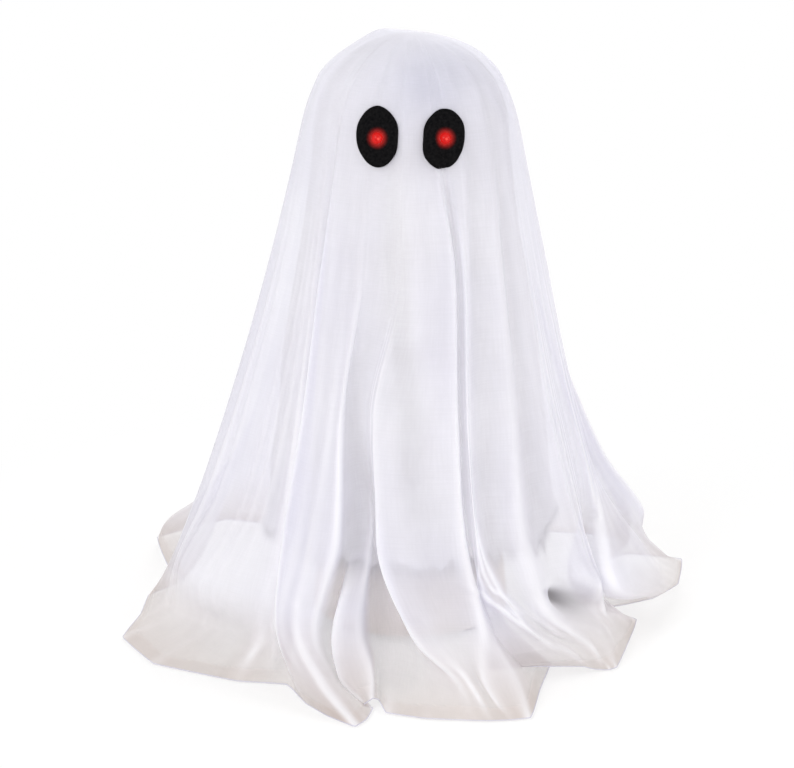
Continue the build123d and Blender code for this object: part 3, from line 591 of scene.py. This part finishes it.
# Material nodes
def shader(name):
    """A new material with its node tree, its main shader and its output."""
    material = bpy.data.materials.new(name)
    material.use_nodes = True
    tree = material.node_tree
    return material, tree, tree.nodes["Principled BSDF"], tree.nodes["Material Output"]


def tune(made, **sockets):
    """Sets the inputs of a shader node by name."""
    for key, value in sockets.items():
        made.inputs[key.replace("_", " ")].default_value = value
    return made


def node(tree, kind, **sockets):
    """One new shader node with its inputs set by name."""
    return tune(tree.nodes.new(kind), **sockets)


def noise(tree, scale, detail=4.0, stretch=(1.0, 1.0, 1.0), space="Object"):
    """Noise over the object's own space or its cloth coordinates, stretched along the axes."""
    place = tree.nodes.new("ShaderNodeTexCoord")
    spread = node(tree, "ShaderNodeMapping", Scale=stretch)
    grain = node(tree, "ShaderNodeTexNoise", Scale=scale, Detail=detail)
    tree.links.new(place.outputs[space], spread.inputs["Vector"])
    tree.links.new(spread.outputs["Vector"], grain.inputs["Vector"])
    return grain.outputs["Fac"]


def kept(tree, name):
    """The numbers that keep_values stored under a name."""
    held = tree.nodes.new("ShaderNodeAttribute")
    held.attribute_name = name
    return held.outputs["Fac"]


def span(tree, source, low, high, first, last):
    """A number that goes from first to last as the source goes from low to high."""
    made = node(tree, "ShaderNodeMapRange", From_Min=low, From_Max=high, To_Min=first, To_Max=last)
    tree.links.new(source, made.inputs["Value"])
    return made.outputs["Result"]


def joined(tree, operation, first, second):
    """Two numbers from other nodes joined by one sum, product or the like, kept between 0 and 1."""
    made = tree.nodes.new("ShaderNodeMath")
    made.operation = operation
    made.use_clamp = True
    tree.links.new(first, made.inputs[0])
    tree.links.new(second, made.inputs[1])
    return made.outputs["Value"]


def colours(tree, source, low, high, first, last):
    """A ramp between two colours over part of a 0 to 1 source."""
    ramp = tree.nodes.new("ShaderNodeValToRGB")
    ramp.color_ramp.elements[0].position = low
    ramp.color_ramp.elements[0].color = (*first, 1.0)
    ramp.color_ramp.elements[1].position = high
    ramp.color_ramp.elements[1].color = (*last, 1.0)
    tree.links.new(source, ramp.inputs["Fac"])
    return ramp.outputs["Color"]


def blended(tree, share, first, second):
    """Two colours from other nodes blended by a third."""
    mix = tree.nodes.new("ShaderNodeMixRGB")
    tree.links.new(share, mix.inputs["Fac"])
    tree.links.new(first, mix.inputs["Color1"])
    tree.links.new(second, mix.inputs["Color2"])
    return mix.outputs["Color"]


def add_bump(tree, surface, source, strength, depth):
    """Roughens a shader's surface by a source of heights, depth in metres."""
    bump = node(tree, "ShaderNodeBump", Strength=strength, Distance=depth)
    tree.links.new(source, bump.inputs["Height"])
    tree.links.new(bump.outputs["Normal"], surface.inputs["Normal"])


def mixed(tree, share, first, second):
    """Two shaders mixed by a fixed share or by another node."""
    mix = tree.nodes.new("ShaderNodeMixShader")
    if isinstance(share, float):
        mix.inputs["Fac"].default_value = share
    else:
        tree.links.new(share, mix.inputs["Fac"])
    tree.links.new(first, mix.inputs[1])
    tree.links.new(second, mix.inputs[2])
    return mix.outputs["Shader"]


def distance_to(tree, place):
    """Distance of each shaded point from a place, in metres."""
    here = tree.nodes.new("ShaderNodeTexCoord")
    away = tree.nodes.new("ShaderNodeVectorMath")
    away.operation = "DISTANCE"
    away.inputs[1].default_value = place
    tree.links.new(here.outputs["Object"], away.inputs[0])
    return away.outputs["Value"]


def plain_rays(tree):
    """1 for rays that show a surface, straight, mirrored or through glass, and 0 for rays of light."""
    rays = tree.nodes.new("ShaderNodeLightPath")
    straight = joined(tree, "ADD", rays.outputs["Is Camera Ray"], rays.outputs["Is Glossy Ray"])
    return joined(tree, "ADD", straight, rays.outputs["Is Transmission Ray"])


def glowing(tree, cloth, tint, share):
    """A cloth shader of which a share lets light glow through in the same tint."""
    glow = tree.nodes.new("ShaderNodeBsdfTranslucent")
    tree.links.new(tint, glow.inputs["Color"])
    return mixed(tree, share, cloth.outputs["BSDF"], glow.outputs["BSDF"])


# Materials
def sheer_material(name, low, high):
    """Fine white organza: part clear, part cloth, denser in its threads, its creases and its hem, with painted
    highlight and shade.
    """
    material, tree, cloth, output = shader(name)
    tune(cloth, Roughness=0.55, Sheen_Weight=0.2, Sheen_Roughness=0.4, Specular_IOR_Level=0.25)
    cloud = noise(tree, scale=16.0, detail=3.0)
    tint = colours(tree, cloud, *cloth_range, *cool_cloth)
    # Painted shade near the hem, painted highlight on fold edges and painted shade in the hollow, blended over
    # the cloth's own colour
    for value, patches in (("hem_shading", painted_hem_shade), ("edge", painted_edge_highlight), ("shade", painted_hollow_shade)):
        tint = blended(tree, kept(tree, value), tint, colours(tree, cloud, *cloth_range, *patches))
    tree.links.new(tint, cloth.inputs["Base Color"])
    threads = noise(tree, scale=1500.0, detail=2.0, stretch=(1.0, 1.0, 0.4))
    add_bump(tree, cloth, threads, strength=0.05, depth=0.0001)
    warp = noise(tree, scale=1.0, detail=2.0, stretch=warp_scale, space="UV")
    weft = noise(tree, scale=1.0, detail=2.0, stretch=weft_scale, space="UV")
    dense = span(tree, joined(tree, "MULTIPLY", warp, weft), *weave_range, low, high)
    cover = joined(tree, "ADD", dense, kept(tree, "layers"))
    clear = tree.nodes.new("ShaderNodeBsdfTransparent")
    lit = glowing(tree, cloth, tint, veil_glow)
    tree.links.new(mixed(tree, cover, clear.outputs["BSDF"], lit), output.inputs["Surface"])
    return material


def fleece_material():
    """Brushed white fleece: matted fibre with a soft nap, and painted grey shade over the brow."""
    material, tree, cloth, output = shader("brushed_fleece")
    tune(cloth, Roughness=0.9, Sheen_Weight=0.4, Sheen_Roughness=0.6)
    mat = noise(tree, scale=140.0, detail=6.0, stretch=(1.0, 1.0, 0.45))
    plain = colours(tree, mat, *fleece_range, *plain_fleece)
    brow_shading = colours(tree, mat, *fleece_range, *painted_brow_shade)
    tint = blended(tree, kept(tree, "brow_shading"), plain, brow_shading)
    tree.links.new(tint, cloth.inputs["Base Color"])
    add_bump(tree, cloth, mat, strength=0.6, depth=0.0012)
    tree.links.new(glowing(tree, cloth, tint, fleece_glow), output.inputs["Surface"])
    return material


def felt_material(centre):
    """Black pressed felt, with a red glow painted round the lamp in its middle."""
    material, tree, felt, _ = shader("black_felt")
    tune(felt, Roughness=0.95, Specular_IOR_Level=0.02, Sheen_Weight=0.01, Sheen_Roughness=0.5)
    mat = noise(tree, scale=900.0, detail=5.0)
    tree.links.new(colours(tree, mat, *felt_range, *felt_black), felt.inputs["Base Color"])
    add_bump(tree, felt, mat, strength=0.7, depth=0.0006)
    # Painted red glow: the felt itself glows round the lamp
    near = span(tree, distance_to(tree, centre), *red_glow_reach, 1.0, 0.0)
    fading = joined(tree, "MULTIPLY", near, near)
    fibre = joined(tree, "MULTIPLY", fading, span(tree, mat, *cloth_range, *red_glow_strength))
    tree.links.new(fibre, felt.inputs["Emission Strength"])
    tune(felt, Emission_Color=painted_red_glow)
    return material


def lens_material(name, centre):
    """Lit red epoxy: a small dark chip and the bright spot beside it, seen through the lens."""
    material, tree, lens, _ = shader(name)
    tune(lens, Roughness=0.3, Specular_IOR_Level=0.15, Base_Color=lens_base, Emission_Strength=0.85)
    glare = distance_to(tree, Vector(centre) + glare_offset)
    chip = distance_to(tree, Vector(centre) + chip_offset)
    red = colours(tree, span(tree, glare, *spot_reach, 0.0, 1.0), 0.0, 1.0, *lens_red)
    dark = colours(tree, span(tree, glare, *lens_reach, 0.0, 1.0), 0.0, 1.0, *chip_red)
    spot = blended(tree, span(tree, chip, *spot_reach, chip_share, 0.0), red, dark)
    tree.links.new(spot, lens.inputs["Emission Color"])
    return material


def finish(name, colour, rough, metal):
    """A hard finish with a little wear: its colour, gloss and surface vary with fine grain."""
    material, tree, hard, _ = shader(name)
    grain = noise(tree, scale=220.0, detail=5.0)
    darker = tuple(wear_dark * c for c in colour)
    tree.links.new(colours(tree, grain, *wear_range, darker, colour), hard.inputs["Base Color"])
    tree.links.new(span(tree, grain, *wear_range, rough, rough + wear_rough), hard.inputs["Roughness"])
    tune(hard, Metallic=metal)
    add_bump(tree, hard, grain, strength=0.25, depth=0.0001)
    return material


# Hard CAD pieces: colour, roughness, metal share and nodes of each finish
hard_finishes = {
    "moulded_white": ((0.84, 0.83, 0.80), 0.42, 0.0, ("head_front_shell", "head_rear_shell")),
    "moulded_beige": (
        (0.92, 0.86, 0.79),
        0.48,
        0.0,
        ("post", "base_cover", "base_plate", "battery_door"),
    ),
    "moulded_black": (
        (0.035, 0.035, 0.038),
        0.4,
        0.0,
        (
            "led_holder_left",
            "led_holder_right",
            "led_ring_left",
            "led_ring_right",
            "switch_body",
            "switch_knob",
        ),
    ),
    "zinc": (
        (0.62, 0.63, 0.64),
        0.3,
        1.0,
        ("head_screws", "post_screw", "base_screws", "switch_screws", "board_screws"),
    ),
    "nickel": (
        (0.72, 0.70, 0.66),
        0.22,
        1.0,
        ("contact_bridge", "contact_positive", "contact_negative", "switch_pins", "led_legs"),
    ),
    "cell_wrap": ((0.10, 0.10, 0.12), 0.25, 0.0, ("cell_left", "cell_right")),
    "paper_board": ((0.40, 0.27, 0.13), 0.55, 0.0, ("circuit_board",)),
    "chip_epoxy": ((0.02, 0.02, 0.02), 0.3, 0.0, ("chip_blob", "resistors")),
    "foot_rubber": ((0.34, 0.31, 0.28), 0.75, 0.0, ("rubber_feet",)),
    "red_sleeve": ((0.55, 0.02, 0.02), 0.45, 0.0, ("led_wires_left", "led_wires_right", "battery_lead_red")),
    "black_sleeve": ((0.02, 0.02, 0.02), 0.45, 0.0, ("battery_lead_black", "switch_lead")),
}
for name, (colour, rough, metal, members) in hard_finishes.items():
    material = finish(name, colour, rough, metal)
    for member in members:
        nodes[member].data.materials.clear()
        nodes[member].data.materials.append(material)

# Veil
points = veil_points()
veil_cloth = grid_mesh("veil_cloth", points, (0.0, 0.0, points[0, :, 2].max()))
runs = np.linalg.norm(np.diff(points, axis=0), axis=-1) / mm
from_hem = np.concatenate([np.cumsum(runs[::-1], axis=0)[::-1], np.zeros((1, veil_columns))])
band = from_hem < hem_band
edge = bends(points)
pocket, _ = hollow(points / mm)
added = edge_cover * edge + crest_cover * crests(points) + hem_band_cover * band + hollow_cover * pocket
layers = np.clip(added, *added_cover) - single_cover * single_layer(points / mm)
# Painted shade near the hem: the cloth turns darker and beige towards the floor
hem_shading = np.interp(points[..., 2] / mm, (hem_shading_low, hem_shading_high), (1.0, 0.0))
# Painted highlight along the crisp fold edges
keep_values(veil_cloth, "edge", edge_highlight * edge)
keep_values(veil_cloth, "layers", np.maximum(layers, least_added_cover))
keep_values(veil_cloth, "hem_shading", hem_shading)
# Painted shade in the hollow under the right-hand fold
keep_values(veil_cloth, "shade", hollow_shade * pocket**2)
veil_cloth.data.materials.append(sheer_material("sheer_organza", *veil_cover))
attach(veil_cloth, "figure")
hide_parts("veil")

# Rolled edge of the veil's hem
veil_hem = hem_roll("veil_hem", points[-1].tolist(), hem_thickness * mm)
veil_hem.data.materials.append(sheer_material("rolled_organza", *hem_cover))
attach(veil_hem, "figure")

# Lining with a frayed hem
lining_shape = lining_points()
lining_cloth = grid_mesh("lining_cloth", lining_shape, (0.0, 0.0, lining_shape[0, :, 2].max()))
# Painted shade: greyer fleece over the brow, fading across and up
brow = np.where(lining_shape[..., 1] < 0.0, 1.0, 0.0)
for axis, middle, width in ((0, *brow_shade_across), (2, *brow_shade_height)):
    brow = brow * np.exp(-(((lining_shape[..., axis] / mm - middle) / width) ** 2))
keep_values(lining_cloth, "brow_shading", brow)
lining_cloth.data.materials.append(fleece_material())
thick = lining_cloth.modifiers.new("thickness", "SOLIDIFY")
thick.thickness = lining_wall * mm
thick.offset = -1.0
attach(lining_cloth, "figure")
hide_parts("lining")

# Loose fibres of the fray
draw = np.random.default_rng(fray_seed)
fringe = lining_shape[-1]
picked = fringe[draw.integers(0, len(fringe), fray_count)]
spread = draw.normal(0.0, 1.0, (fray_count, 3)) * fray_spread * mm
fall = np.array([0.0, 0.0, -1.0]) * draw.uniform(fray_least, 1.0, (fray_count, 1)) * fray_length * mm
lining_fray = strands("lining_fray", picked + fray_root * spread, picked + spread + fall, fray_width * mm)
lining_fray.data.materials.append(lining_cloth.data.materials[0])
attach(lining_fray, "figure")

# Felt eye patches, laid on the veil and pierced by the lamps
bpy.context.view_layer.update()
for side, x in (("left", -eye_x), ("right", eye_x)):
    patch = patch_points(side, x)
    eye = grid_mesh(f"felt_{side}", patch)
    eye.data.materials.append(felt_material((x * mm, patch[0, :, 1].mean(), eye_z * mm)))
    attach(eye, "figure")
    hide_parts(f"eye_patch_{side}")
    lamp = nodes[f"eye_led_{side}"]
    lamp.data.materials.clear()
    lamp.data.materials.append(lens_material(f"lit_lens_{side}", (x * mm, lamp_tip_y * mm, eye_z * mm)))

# Floor: pale, with the figure's soft shadow, and white further off
bpy.ops.mesh.primitive_plane_add(size=floor_size, location=(0.0, 0.0, -floor_drop))
floor = bpy.context.object
floor.name = "floor"
floor_material, floor_tree, floor_shader, floor_output = shader("pale_floor")
tune(floor_shader, Roughness=0.8, Base_Color=floor_colour)
floor_away = distance_to(floor_tree, (0.0, 0.0, 0.0))
floor_fade = span(floor_tree, floor_away, *floor_fade_reach, floor_white_near, 1.0)
floor_white = node(floor_tree, "ShaderNodeEmission", Strength=1.0)
floor_seen = joined(floor_tree, "MULTIPLY", floor_fade, plain_rays(floor_tree))
floor_mix = mixed(floor_tree, floor_seen, floor_shader.outputs["BSDF"], floor_white.outputs["Emission"])
floor_tree.links.new(floor_mix, floor_output.inputs["Surface"])
floor.data.materials.append(floor_material)

# White surroundings that light the figure more softly than they look
world = bpy.data.worlds.new("studio")
bpy.context.scene.world = world
world.use_nodes = True
sky = world.node_tree.nodes["Background"]
sky.inputs["Color"].default_value = (1.0, 1.0, 1.0, 1.0)
strength = span(world.node_tree, plain_rays(world.node_tree), 0.0, 1.0, world_light, 1.0)
world.node_tree.links.new(strength, sky.inputs["Strength"])


def soft_lamp(name, place, power):
    """A round soft lamp that faces the figure."""
    light = bpy.data.lights.new(name, "AREA")
    light.shape = "DISK"
    light.size = lamp_size
    light.energy = power
    lamp = bpy.data.objects.new(name, light)
    lamp.location = place
    lamp.rotation_euler = (light_aim - Vector(place)).to_track_quat("-Z", "Y").to_euler()
    bpy.context.scene.collection.objects.link(lamp)


for name, (place, power) in lamps.items():
    soft_lamp(name, place, power)

# Camera at the photograph's angle
camera = bpy.data.objects.new("camera", bpy.data.cameras.new("camera"))
bpy.context.scene.collection.objects.link(camera)
camera.data.lens = camera_lens
camera_side = Vector((0.0, -np.cos(camera_elevation), np.sin(camera_elevation)))
camera.location = camera_target + camera_distance * camera_side
camera.rotation_euler = (camera_aim - camera.location).to_track_quat("-Z", "Y").to_euler()
bpy.context.scene.camera = camera
bpy.context.scene.view_settings.view_transform = "Standard"
